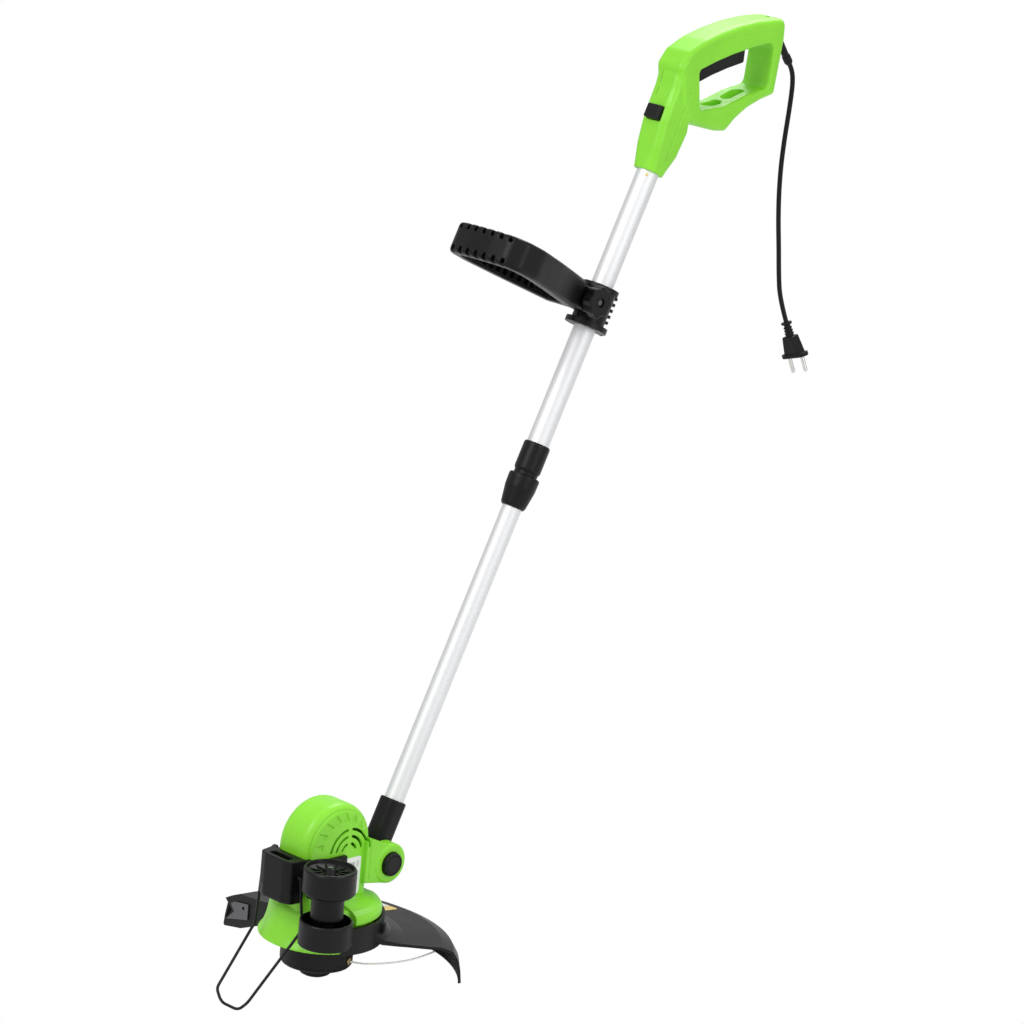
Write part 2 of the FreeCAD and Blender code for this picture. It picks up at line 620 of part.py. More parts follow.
for k in range(-3, 4):
    for sg in (-1, 1):
        z0 = sg * (num(hw) - 7.5)
        notches.append(box(165.5, 190, 12.2 * k - 2.4, 12.2 * k + 2.4, min(z0, z0 + sg * 12), max(z0, z0 + sg * 12)))
loop = cut(loop, fuse(*notches))
# arms run down to two lugs on the bolt
lugs = []
for sg in (-1, 1):
    y0, y1 = (11.2, 19.6) if sg > 0 else (-19.6, -11.2)
    lugs.append(cyl(13.5, y0, y1, 0, 0, axis="y"))
    lugs.append(box(0, 26, y0, y1, -12, 12))
    lugs.append(prism([(16, sg * 11.2, 0), (16, sg * 21.0, 0), (38, sg * 28.5, 0), (46, sg * 20, 0), (26, sg * 11.2, 0)], -num(hw) + 2.5, num(hw) - 2.5, axis="z"))
loop = fuse(loop, *lugs)
loop = cut(loop, fuse(box(-30, 18.0, -11.2, 11.2, -40, 40), cyl(3.12, -30, 30, 0, 0, axis="y")))
# keep the loop clear of the clamp between its lugs
node("aux_handle", loop, LOOP)

# ---------------------------------------------------------------- cord and plug
RELIEF = 60.0
relief = rev([(V["cord_od"] / 2 + 0.02, -4.0), (4.0, -4.0), (4.0, 2.4), (5.1, 3.0), (4.9, 30.0), (4.1, 45.0), (3.9, 48.0), (4.9, 49.0),
              (4.9, 57.5), (4.1, RELIEF), (V["cord_od"] / 2 + 0.02, RELIEF)], stem="relief")
node("cord_strain_relief", relief, Placement(CORD_OUT, CORD_ROT))
dcord = CORD_ROT.multVec(Vector(0, 0, 1))
A0 = CORD_OUT + dcord * RELIEF
PLUG_DIR = Vector(0.08729, -0.29392, -0.95184)
PLUG_END = Vector(110.2, -8.0, -349.9)
CORD = [(A0.x, 0.0, A0.z), (A0.x + dcord.x * 10, 0.0, A0.z + dcord.z * 10), (121.2, 0.2, -68.3), (120.0, 0.4, -82.0), (116.4, 0.7, -104.0),
        (109.6, 0.5, -134.0), (103.6, -0.2, -165.0), (100.8, -0.6, -197.0), (101.4, -0.2, -230.0), (104.4, 0.8, -262.0),
        (107.0, 2.2, -293.0), (PLUG_END.x - PLUG_DIR.x * 29, PLUG_END.y - PLUG_DIR.y * 29, PLUG_END.z - PLUG_DIR.z * 29),
        (PLUG_END.x, PLUG_END.y, PLUG_END.z)]
print("cord route", [tuple(round(c, 2) for c in p) for p in CORD])
node("mains_cord", feature(tube_on(CORD, num(V["cord_od"]), "mains_cord"), "cord"))
end = Vector(*CORD[-1])
dend = (end - Vector(*CORD[-2])).normalize()
# plug frame: local -z... local z runs from the cord towards the pins
side = Vector(0.03227, -0.95415, 0.29759)
side = (side - dend * side.dot(dend)).normalize()
PLUG = Placement(end, Rotation(side, dend.cross(side), dend, "ZXY"))
PB = 42.0
plug_neck = rev([(0.0, 0.0), (6.0, 0.0), (6.4, 0.8), (6.2, 2.4), (3.7, 3.6), (4.2, 11.0), (5.2, 18.5), (0.0, 18.5)], stem="plug_neck")
rings = [cyl(4.9 + 0.25 * k, 6.0 + 3.4 * k, 7.6 + 3.4 * k) for k in range(3)]
body_w = prism([(-7.6, 16.5, 2), (7.6, 16.5, 2), (11.6, 39.5, 0), (-11.6, 39.5, 0)], -6.6, 6.6)
body_w = fillet_where(body_w, 2.0, lambda p: abs(abs(p.y) - 6.6) < 0.01 and p.z < 39.0)
flange = prism([(-17.5, -7.8, 7.5), (17.5, -7.8, 7.5), (17.5, 7.8, 7.5), (-17.5, 7.8, 7.5)], 37.6, PB, axis="z")
flange = fillet_where(flange, 1.0, lambda p: p.z > PB - 0.01)
plug = fuse(plug_neck, body_w, flange, *rings)
pp = V["pin_pitch"] / 2
plug = cut(plug, fuse(cyl(1.8, 38.0, 60, -pp, 0), cyl(1.8, 38.0, 60, pp, 0)))
node("plug_body", plug, PLUG)


def pin(x):
    p = rev([(0.0, 38.0), (1.8, 38.0), (1.8, PB), (V["pin_od"] / 2, PB), (V["pin_od"] / 2, V["pin_len"] + (PB - 1.6)), (V["pin_od"] / 2 - 1.6, V["pin_len"] + PB),
             (0.0, V["pin_len"] + PB)], stem="pin")
    p.Placement = Placement(Vector(num(x), 0, 0), Rotation())
    return p


node("plug_pins", group(pin(-pp), pin(pp)), PLUG)

# ---------------------------------------------------------------- motor head housing
T = num(V["dome_half"])
DX, DZ, DR = num(V["dome_x"]), num(V["dome_z"]), num(V["dome_rad"])


def arch(r, zlow, steps=0):
    """Arch outline of radius r about the dome centre with straight sides down to zlow."""
    a = []
    for k in range(0, 13):
        t = math.radians(15.0 * k)
        a.append((DX + r / math.cos(math.radians(7.5)) * math.cos(t) if 0 < k < 12 else DX + r * math.cos(t),
                  DZ + r / math.cos(math.radians(7.5)) * math.sin(t) if 0 < k < 12 else DZ, r * 2 if 0 < k < 12 else 0))
    return a


def arch_solid(r, y0, y1, zlow):
    """Round-topped block built from a cylinder and a box."""
    return fuse(cyl(r, y0, y1, DX, DZ, axis="y"), box(DX - r, DX + r, y0, y1, zlow, DZ))


dome = arch_solid(DR, -T, T, 84.0)
dome = fillet_where(dome, 12.0, lambda p: abs(abs(p.y) - T) < 0.01 and p.z > 84.01)
# a groove round the arch and a field of scoops on both cheeks
grooves = []
for y0, y1 in ((-T - 5, -T + 3.4), (T - 3.4, T + 5)):
    grooves.append(cut(arch_solid(46.9, y0, y1, 100.0), arch_solid(45.5, y0 - 1, y1 + 1, 99.0)))
    for a in (22, 43, 64, 85, 106, 127, 148, 169):
        t0 = math.radians(a)
        tip = (DX + 3.0 + 41.5 * math.cos(t0), DZ + 41.5 * math.sin(t0))
        base = [(DX + 5.5 + 31.0 * math.cos(t0 + w0), DZ - 1.5 + 31.0 * math.sin(t0 + w0)) for w0 in (-0.13, 0.13)]
        g0, g1 = (-T - 5, -T + 1.6) if y0 < 0 else (T - 1.6, T + 5)
        grooves.append(prism([(tip[0], tip[1], 0), (base[0][0], base[0][1], 0), (base[1][0], base[1][1], 0)], g0, g1))
dome = cut(dome, fuse(*grooves))
skirt = rev([(0, V["skirt_top"] + 1.5), (50.5, V["skirt_top"] + 1.5), (53.0, V["skirt_top"]), (54.6, 84.5), (55.6, 78.0), (57.6, 66.0), (61.0, 55.0),
             (V["skirt_rad"], 48.6), (V["skirt_rad"], V["skirt_low"]), (0, V["skirt_low"])], stem="skirt")
rear = rev([(20.0, 93.0), (44.0, 93.0), (57.0, 90.5), (63.6, 87.5), (66.2, 84.0), (66.2, 77.4), (20.0, 77.4)], angle=196.0, start=-98.0, stem="rear_shoulder")
PX, PVZ = num(V["pivot_x"]), num(V["pivot_z"])
ears = []
for sg in (-1, 1):
    y0, y1 = (-29.6, -15.0) if sg < 0 else (15.0, 29.6)
    arm = prism([(34, 106, 0), (52, 103, 6), (PX, PVZ - 22.2, 0), (PX, PVZ, 0), (PX - 4, PVZ + 22.0, 0), (34, 158, 0)], y0, y1)
    boss = rev([(0, 15.0), (22.4, 15.0), (22.4, 28.4), (21.9, 29.7), (20.9, 30.6), (19.6, 31.0), (0, 31.0)], stem="pivot_boss")
    boss.Placement = Placement(Vector(PX, 0, PVZ), Rotation(Vector(1, 0, 0), 90 if sg < 0 else -90))
    ears.append(fuse(arm, boss))
solid_head = fuse(fuse(dome, ears[0], ears[1]), fuse(skirt, rear))
# hollow
R_in = DR - 3.2
hol_dome = arch_solid(R_in, -T + 4.4, T - 4.4, 90.0)
floor_gap = box(-90, 90, -90, 90, 76.0, 90.0)
hol_skirt = rev([(0, 76.0), (52.4, 76.0), (54.4, 65.0), (57.8, 54.2), (62.4, 47.9), (62.8, 40.0), (0, 40.0)], stem="skirt_hollow")
top_plate = box(DX - 44, DX + 44, -T + 4, T - 4, 169.0, 177.5)
hol_dome = cut(hol_dome, top_plate)
bore_low = cyl(11.05, 74, 92)
seat_low = cyl(11.05, 77, 91)
bore_top = cyl(9.05, 168.6, 176.6)
bore_mid = cyl(4.6, 60, 190)
pivot_slot = fuse(cyl(17.0, -14.7, 14.7, PX, PVZ, axis="y"), box(54, 96, -14.7, 14.7, PVZ, PVZ + 60),
                  box(PX - 16, PX + 40, -14.7, 14.7, 80, PVZ))
pivot_bore = cyl(4.02, -31.0, 26.0, PX, PVZ, axis="y")
button_well = cyl(V["button_od"] / 2 + 0.25, -32.0, -22.0, PX, PVZ, axis="y")
# curved vents and scoops on both cheeks
vents = []
for sg in (-1, 1):
    y0, y1 = (-T - 6, -T + 8) if sg < 0 else (T - 8, T + 6)
    for rr in (10.5, 18.5, 26.5):
        band = cut(cyl(rr + 1.5, y0, y1, 12.0, 143.0, axis="y"), cyl(rr - 1.5, y0 - 1, y1 + 1, 12.0, 143.0, axis="y"))
        wedge_l = prism([(12.0 - 2.6, 143.0 + 3, 0), (12.0 - 2.6, 143.0 + 40, 0), (12.0 - 40, 143.0 + 40, 0), (12.0 - 40, 143.0 + 3, 0)], y0, y1)
        wedge_r = prism([(12.0 + 2.6, 143.0 + 3, 0), (12.0 + 2.6, 143.0 + 40, 0), (12.0 + 40, 143.0 + 40, 0), (12.0 + 40, 143.0 + 3, 0)], y0, y1)
        vents.append(common(band, fuse(wedge_l, wedge_r)))
head_all = cut(solid_head, fuse(hol_dome, hol_skirt, seat_low, bore_top, bore_mid, pivot_slot, pivot_bore, button_well, *vents))
HS = [(-40.0, 104.0), (-31.0, 178.0), (26.0, 178.0), (37.5, 98.5)]
hb = [cyl(4.4, -T + 2, T - 2, a, b, axis="y") for a, b in HS]
hb = common(fuse(*hb), solid_head)
hh = []
for a, b in HS:
    hh.append(cyl(1.62, -16, 40, a, b, axis="y"))
    hh.append(cyl(3.6, T - 9, 40, a, b, axis="y"))
head_all = cut(fuse(head_all, hb), fuse(*hh))
doc.recompute()
node("motor_housing_left", common(head_all, box(-120, 130, -120, 0, 20, 230)), HEAD)
node("motor_housing_right", common(head_all, box(-120, 130, 0, 120, 20, 230)), HEAD)
hs = []
for a, b in HS:
    s1 = cyl(1.55, -14.0, T - 9, a, b, axis="y")
    s2 = cyl(3.3, T - 9, T - 6.4, a, b, axis="y")
    hs.append(cut(fuse(s1, s2), box(a - 2.6, a + 2.6, T - 7.6, T, b - 0.45, b + 0.45)))
node("housing_screws", group(*hs), HEAD)

node("pivot_axle", fuse(cyl(3.98, -19.5, 25.9, PX, PVZ, axis="y"), cyl(3.98, 25.8, 25.95, PX, PVZ, axis="y")), HEAD)
RB = V["button_od"] / 2
btn = cyl(RB, -35.6, -26.4, PX, PVZ, axis="y")
btn = fillet_where(btn, 1.6, lambda p: abs(p.y + 35.6) < 0.01)
btn = cut(btn, cut(cyl(10.4, -37, -34.9, PX, PVZ, axis="y"), cyl(9.6, -38, -34, PX, PVZ, axis="y")))
node("pivot_lock_button", btn, HEAD)
node("pivot_lock_spring", feature(coil_runs(6.5, 0.6, 1.7, 2), "spring"),
     HEAD.multiply(Placement(Vector(PX, -26.3, PVZ), Rotation(Vector(1, 0, 0), -90))))

# motor
stator = rev([(13.2, 104.0), (17.8, 104.0), (19.0, 106.0), (19.0, 148.0), (17.8, 150.0), (13.2, 150.0)], stem="stator")
node("motor_stator", stator, HEAD)
brush = group(box(8.2, 18, -3, 3, 155, 162), box(-18, -8.2, -3, 3, 155, 162))
node("carbon_brushes", brush, HEAD)
node("upper_bearing", rev([(4.05, 170.4), (9.0, 170.4), (9.0, 176.4), (4.05, 176.4)], stem="bearing"), HEAD)
node("lower_bearing", rev([(4.05, 78.0), (11.0, 78.0), (11.0, 85.0), (4.05, 85.0)], stem="bearing"), HEAD)
rotor = rev([(0, 14.0), (3.0, 14.0), (4.0, 15.0), (4.0, 103.0), (8.0, 104.0), (12.4, 106.0), (12.4, 146.0), (8.0, 148.0), (8.0, 165.0), (4.0, 166.0),
             (4.0, 176.0), (0, 176.0)], stem="rotor")
node("motor_rotor", rotor, HEAD)
hubf = rev([(4.0, 91.0), (6.5, 91.0), (6.5, 101.5), (4.0, 101.5)], stem="fan_hub")
disc = rev([(6.4, 91.0), (18.5, 91.0), (18.5, 92.6), (6.4, 92.6)], stem="fan_disc")
blades = [placed(box(6.0, 18.5, -0.7, 0.7, 92.0, 100.5), Placement(Vector(), Rotation(Vector(0, 0, 1), 40.0 * k))) for k in range(9)]
node("cooling_fan", fuse(hubf, disc, *blades), HEAD)

# ---------------------------------------------------------------- line spool head
RO = V["spool_od"] / 2
sp_house = rev([(4.0, 30.0), (8.5, 30.0), (8.5, 44.0), (36.0, 44.0), (36.6, 43.0), (36.6, 19.2), (RO, 19.2), (RO, 45.0), (RO - 1.5, 47.2), (7.0, 47.2),
                (7.0, 60.0), (4.0, 60.0)], stem="spool_housing")
EA = -72.0
ea = math.radians(EA)
eye_pos = Vector(math.cos(ea), math.sin(ea), 0)
eye_hole = cyl(3.0, 30, 45)
eye_hole.Placement = Placement(Vector(0, 0, 24.0), Rotation(Vector(0, 0, 1), eye_pos)).multiply(Placement(Vector(0, 0, 30), Rotation()))
node("spool_housing", cut(sp_house, eye_hole), HEAD)
eyelet = rev([(1.25, 31.0), (2.95, 31.0), (2.95, 39.7), (4.1, 39.8), (4.1, 40.8), (1.6, 41.3), (1.25, 40.8)], stem="eyelet")
eyelet.Placement = Placement(Vector(0, 0, 24.0), Rotation(Vector(0, 0, 1), eye_pos))
node("line_eyelet", cut(eyelet, cyl(60, 0, 1, 0, 0)), HEAD)
cap = rev([(17.25, 7.2), (20.5, 8.0), (27.5, 11.6), (35.0, 13.4), (37.6, 14.6), (RO - 0.5, 16.4), (RO, 19.0), (36.4, 19.0), (36.4, 20.6), (34.6, 20.6), (34.6, 16.6),
           (27.0, 14.4), (20.6, 11.0), (19.6, 10.8), (19.6, 13.4), (17.25, 13.4)], stem="spool_cap")
node("spool_cap", cap, HEAD)
reel = rev([(9.0, 17.5), (15.0, 17.5), (30.5, 17.5), (30.5, 19.3), (15.0, 19.3), (15.0, 34.5), (30.5, 34.5), (30.5, 36.3), (9.0, 36.3)], stem="reel")
node("line_reel", reel, HEAD)
wind = rev([(15.05, 19.6), (26.0, 19.6), (28.0, 23.0), (28.4, 27.0), (27.8, 31.0), (26.0, 34.2), (15.05, 34.2)], stem="winding")
node("wound_line", wind, HEAD)
knobb = rev([(0, 0.4), (7.0, 0.0), (13.6, 0.6), (V["bump_od"] / 2 - 0.6, 2.2), (V["bump_od"] / 2 - 0.05, 4.6), (V["bump_od"] / 2 - 0.05, 13.4), (14.6, 13.6), (14.6, 5.0), (7.4, 3.4), (7.4, 17.2), (5.0, 17.2),
             (5.0, 3.2), (0, 3.2)], stem="bump_knob")
node("bump_knob", knobb, HEAD)
node("bump_spring", feature(coil_runs(6.2, 0.8, 2.8, 4), "spring"), HEAD.multiply(Placement(Vector(0, 0, 17.4), Rotation())))

# cutting line leaves the eyelet, bends with the turn of the head and curls up
ex = Vector(41.4 * math.cos(ea), 41.4 * math.sin(ea), 24.0)
LINE_LOCAL = [(ex.x, ex.y, ex.z), (ex.x + 13 * math.cos(ea), ex.y + 13 * math.sin(ea), 24.2), (37.0, -65.5, 25.2), (55.0, -75.5, 27.0), (73.0, -83.6, 30.4),
              (90.0, -89.5, 36.0)]
LINE = [HEAD.multVec(Vector(*p)) for p in LINE_LOCAL]
print("line route", [(round(p.x, 2), round(p.y, 2), round(p.z, 2)) for p in LINE])
node("cutting_line", feature(tube_on([tuple(p) for p in LINE], num(V["line_od"]), "cutting_line"), "line"))

# ---------------------------------------------------------------- guard
GR = V["guard_rad"]
guard_pts = [(66.8, 76.2), (70.0, 76.2), (70.0, 63.0), (78.0, 55.8), (92.0, 51.0), (112.0, 48.4), (134.0, 46.0), (147.0, 40.0), (153.6, 29.0), (156.6, 15.0), (GR, 3.6),
             (GR - 3.2, 3.2), (153.6, 15.0), (150.4, 28.0), (144.8, 37.2), (133.0, 42.8), (111.0, 45.2), (91.0, 47.6), (76.0, 50.6), (66.8, 58.0)]
gd = rev(guard_pts, angle=171.0, start=-84.0, stem="guard_sector")
# the near edge sweeps outwards from the collar
near_cut = prism([(4, -62, 0), (18.1, -67.6, 30), (48.9, -81.4, 90), (77.0, -98.5, 90), (109.8, -113.7, 0), (128, -122, 0), (128, -200, 0), (-60, -200, 0), (-60, -62, 0)], 0, 90, axis="z")
gd = cut(gd, near_cut)
collar_g = rev([(66.8, 76.2), (70.0, 76.2), (70.0, 48.2), (66.8, 48.2)], angle=209.0, start=-112.0, stem="guard_collar")
plate_g = rev([(66.0, 46.7), (70.0, 46.7), (70.0, 49.0), (66.0, 49.0)], angle=209.0, start=-112.0, stem="guard_lip")
# end wall at the far end, with the notch that bares the blade
endw = prism([(69, 58, 0), (78, 55.4, 0), (92, 51.2, 0), (112, 48.6, 0), (134, 46.2, 0), (147, 40.2, 0), (158, 34.0, 0), (145, 24.0, 2), (158, 6.0, 0), (156.5, 2.0, 0),
              (128, 8.0, 0), (96, 22.0, 0), (69, 31.0, 0)], -1.6, 1.6)
endw.Placement = Placement(Vector(), Rotation(Vector(0, 0, 1), 87.0 - 0.6))
tab = placed(box(69.6, 73.4, -4, 4, 61, 71), Placement(Vector(), Rotation(Vector(0, 0, 1), -60)))
guard = fuse(gd, collar_g, plate_g, endw, tab)
GS = [-15.0, 40.0, 92.0]
gh = []
for a in GS:
    c = cyl(1.7, 58, 80)
    c.Placement = Placement(Vector(0, 0, 69.0), Rotation(Vector(0, 0, 1), a)).multiply(Placement(Vector(0, 0, 0), Rotation(Vector(0, 1, 0), 90))).multiply(Placement(Vector(0, 0, 60), Rotation()))
    gh.append(c)
guard = cut(guard, fuse(*gh))
node("cutting_guard", guard, HEAD)
gs = []
for a in GS:
    s1 = fuse(cyl(1.5, 62.6, 71.0), cyl(3.2, 70.05, 72.2))
    s1.Placement = Placement(Vector(0, 0, 69.0), Rotation(Vector(0, 0, 1), a)).multiply(Placement(Vector(0, 0, 0), Rotation(Vector(0, 1, 0), 90)))
    gs.append(s1)
node("guard_screws", group(*gs), HEAD)
blade = prism([(116, 22, 0), (152, 12, 0), (139, 24.6, 0), (146.0, 31.5, 0), (139.5, 36, 0), (116, 40, 0)], -3.4, -1.8)
blade = cut(blade, fuse(cyl(2.0, -6, 6, 124.0, 33.0, axis="y")))
blade.Placement = Placement(Vector(), Rotation(Vector(0, 0, 1), 87.0 - 0.6)).multiply(Placement(Vector(0, 5.2, 0), Rotation()))
node("line_cutter_blade", blade, HEAD)

# ---------------------------------------------------------------- roller bracket, roller, wire guard
BX = DX - DR                       # front of the housing
brk_o = prism([(6, -30.5, 3), (-48, -30.5, 4), (-56, -26.5, 3), (-71.5, -24, 5), (-74.5, -14, 6), (-74.5, 14, 6), (-71.5, 24, 5), (-56, 26.5, 3), (-48, 30.5, 4), (6, 30.5, 3)],
              112.0, 148.0, axis="z")
brk_o = cut(brk_o, fuse(box(-46, 12, -60, -20, 143.0, 160), box(-46, 12, 20, 60, 143.0, 160)))
front = prism([(-52, -26.2, 2), (-70, -24.5, 5), (-74.5, -14, 6), (-74.5, 14, 6), (-70, 24.5, 5), (-52, 26.2, 2)], 99.5, 148.0, axis="z")
front = fillet_where(front, 2.4, lambda p: p.x < -60 and (abs(p.z - 99.5) < 0.01 or abs(p.z - 148.0) < 0.01))
arm_r = fuse(box(-50, -38, -62, -27.5, 106.0, 124.5), cyl(V["hub_od"] / 2, 99.7, 125.7, V["roller_x"], V["roller_y"]))
brk = fuse(brk_o, front, arm_r)
dome_neg = fuse(box(DX - DR - 0.15, 60, -T - 0.15, T + 0.15, 90, 160))
slot_top = box(-68.5, -60.5, -15, 15, 138.0, 150.0)
brk = cut(brk, fuse(dome_neg, slot_top, cyl(3.06, 90, 170, V["roller_x"], V["roller_y"]), cyl(1.72, -40, 40, V["hoop_x"], V["hoop_z"], axis="y")))
node("edging_bracket", brk, HEAD)

RW = V["roller_od"] / 2
wheel = rev([(3.0, 132.8), (8.0, 132.8), (8.0, 126.0), (18.0, 126.0), (26.0, 126.8), (RW, 129.4), (RW, 153.4), (RW - 1.2, 155.4), (RW - 3.0, 155.8), (RW - 4.2, 152.0),
             (9.0, 146.6), (6.4, 150.6), (4.6, 154.2), (3.0, 155.0)], stem="roller_wheel")
wheel.Placement = Placement(Vector(num(V["roller_x"]), num(V["roller_y"]), 0), Rotation())
wribs = []
for k in range(12):
    r1 = box(8.0, num(RW) - 3.4, -0.9, 0.9, 146.0, 151.4)
    r1.Placement = Placement(Vector(num(V["roller_x"]), num(V["roller_y"]), 0), Rotation(Vector(0, 0, 1), 30.0 * k)).multiply(r1.Placement)
    wribs.append(r1)
node("roller_upper_wheel", fuse(wheel, *wribs), HEAD)
cup = rev([(3.0, 71.0), (7.0, 71.0), (25.4, 69.3), (RW - 0.8, 69.7), (RW, 71.0), (RW, 96.2), (RW - 0.9, 97.5), (RW - 2.4, 97.5), (RW - 2.8, 74.2), (7.4, 75.2), (7.4, 99.3), (3.0, 99.3)], stem="roller_cup")
cup.Placement = Placement(Vector(num(V["roller_x"]), num(V["roller_y"]), 0), Rotation())
node("roller_lower_cup", cup, HEAD)
node("roller_axle", fuse(cyl(3.0, 68.0, 156.0, V["roller_x"], V["roller_y"]), cyl(5.0, 67.6, 70.2, V["roller_x"], V["roller_y"])), HEAD)

hx0, hz0 = num(V["hoop_x"]), num(V["hoop_z"])
HOOP = [(hx0, 19.0, hz0), (hx0, 29.4, hz0), (hx0 - 4.6, 29.0, 64.0), (-120.0, 24.4, 0.5), (-122.4, 13.6, -11.0), (-122.4, -13.6, -11.0), (-120.0, -24.4, 0.5), (hx0 + 2.0, -36.0, 74.0),
        (hx0, -29.4, hz0), (hx0, -19.0, hz0)]
HR = [0, 3.4, 12.0, 10.0, 16.0, 16.0, 10.0, 12.0, 3.4, 0]


def bent_wire(points, radii, dia):
    P = [Vector(*p) for p in points]
    edges = []
    last = P[0]
    for i in range(1, len(P) - 1):
        a, b = P[i - 1] - P[i], P[i + 1] - P[i]
        ua, ub = Vector(a).normalize(), Vector(b).normalize()
        turn = math.pi - a.getAngle(b)
        rad = radii[i]
        d = min(rad * math.tan(turn / 2), 0.47 * a.Length, 0.47 * b.Length)
        rad = d / math.tan(turn / 2)
        p0, p1 = P[i] + ua * d, P[i] + ub * d
        m = Vector(ua + ub).normalize()
        mid = P[i] + m * (rad / math.cos(turn / 2) - rad)
        edges.append(Part.LineSegment(last, p0).toShape())
        edges.append(Part.Arc(p0, mid, p1).toShape())
        last = p1
    edges.append(Part.LineSegment(last, P[-1]).toShape())
    wire = Part.Wire(edges)
    t = edges[0].tangentAt(edges[0].FirstParameter)
    prof = Part.Wire([Part.Circle(P[0], t, dia / 2).toShape()])
    sol = wire.makePipeShell([prof], True, False, 2)
    print("wire guard length %.1f volume ratio %.4f" % (wire.Length, sol.Volume / (math.pi * dia * dia / 4 * wire.Length)))
    return sol


node("wire_plant_guard", feature(bent_wire(HOOP, HR, num(V["hoop_wire"])), "hoop"), HEAD)

# ---------------------------------------------------------------- labels
lab = prism([(8.0, 94.0, 3), (31.0, 94.0, 3), (31.0, 137.0, 3), (8.0, 137.0, 3)], -num(V["dome_half"]) - 0.45, -num(V["dome_half"]))
node("rating_label", lab, HEAD)
gl = prism([(96, -9, 3), (124, -13, 3), (124, 13, 3), (96, 9, 3)], 47.0, 52.0, axis="z")
gl = common(gl, rev([(90, 51.9), (92.0, 51.42), (112.0, 48.82), (134.0, 46.42), (134.0, 46.02), (112.0, 48.42), (92.0, 51.02), (90, 51.45)], stem="label_sheet"))
gl.Placement = Placement(Vector(), Rotation(Vector(0, 0, 1), 8.0))
node("guard_label", gl, HEAD)

doc.recompute()
bad = []
for o in doc.Objects:
    st = list(o.State)
    if "Invalid" in st or "Error" in st:
        bad.append((o.Name, o.Label, st))
for label, o in NODES:
    if o.Shape.isNull() or not o.Shape.isValid():
        bad.append((label, "shape"))
if bad:
    raise RuntimeError("failed objects: %s" % bad)
if len(set(l for l, o in NODES)) != len(NODES):
    raise RuntimeError("labels repeat")
for label, o in NODES:
    bb = o.Shape.BoundBox
    print("%-22s solids %d vol %.0f  x %.0f..%.0f y %.0f..%.0f z %.0f..%.0f" % (
        label, len(o.Shape.Solids), o.Shape.Volume, bb.XMin, bb.XMax, bb.YMin, bb.YMax, bb.ZMin, bb.ZMax))
    o.Shape.exportStep(os.path.join("parts", label + ".step"))
print("nodes", len(NODES))
print("PLUG", PLUG.Base, PLUG.Rotation.multVec(Vector(0, 0, 1)), PLUG.Rotation.multVec(Vector(1, 0, 0)))
print("HEAD", HEAD.Base, "PIVOT", PIVOT)
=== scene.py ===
import json
import math
import bpy
from mathutils import Matrix, Vector

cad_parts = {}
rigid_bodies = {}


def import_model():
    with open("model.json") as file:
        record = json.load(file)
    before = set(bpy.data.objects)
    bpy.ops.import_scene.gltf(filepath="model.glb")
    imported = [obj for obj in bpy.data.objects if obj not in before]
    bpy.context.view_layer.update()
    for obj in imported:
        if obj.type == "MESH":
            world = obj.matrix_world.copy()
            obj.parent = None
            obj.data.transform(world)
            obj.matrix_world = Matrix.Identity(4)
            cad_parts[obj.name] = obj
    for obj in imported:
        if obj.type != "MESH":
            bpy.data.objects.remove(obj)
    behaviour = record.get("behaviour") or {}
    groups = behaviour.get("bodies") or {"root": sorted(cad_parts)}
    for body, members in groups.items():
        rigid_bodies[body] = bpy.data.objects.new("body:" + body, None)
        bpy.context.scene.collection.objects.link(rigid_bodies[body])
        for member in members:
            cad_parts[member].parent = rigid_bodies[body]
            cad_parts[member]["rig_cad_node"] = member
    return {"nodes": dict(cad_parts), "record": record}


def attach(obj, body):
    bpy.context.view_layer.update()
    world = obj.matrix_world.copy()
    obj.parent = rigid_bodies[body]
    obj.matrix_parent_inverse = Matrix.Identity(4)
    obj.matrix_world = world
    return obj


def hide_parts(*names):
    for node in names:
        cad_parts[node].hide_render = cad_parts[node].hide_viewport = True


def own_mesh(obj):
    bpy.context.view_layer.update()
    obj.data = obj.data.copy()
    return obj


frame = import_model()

for _n in ("Cube", "Light", "Camera"):
    _o = bpy.data.objects.get(_n)
    if _o is not None and "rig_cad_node" not in _o:
        bpy.data.objects.remove(_o)
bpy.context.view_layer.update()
S = bpy.context.scene
SLOT = {p["node"]: p["material_slot"] for p in frame["record"]["subparts"]}
BODY = {n: b for b, ns in frame["record"]["behaviour"]["bodies"].items() for n in ns}

# head frame: origin under the spool, leaning 7.5 degrees
LEAN = math.radians(7.5)
H0 = Vector((-0.632147, 0.0, -0.919603))
HX = Vector((math.cos(LEAN), 0, -math.sin(LEAN)))
HZ = Vector((math.sin(LEAN), 0, math.cos(LEAN)))


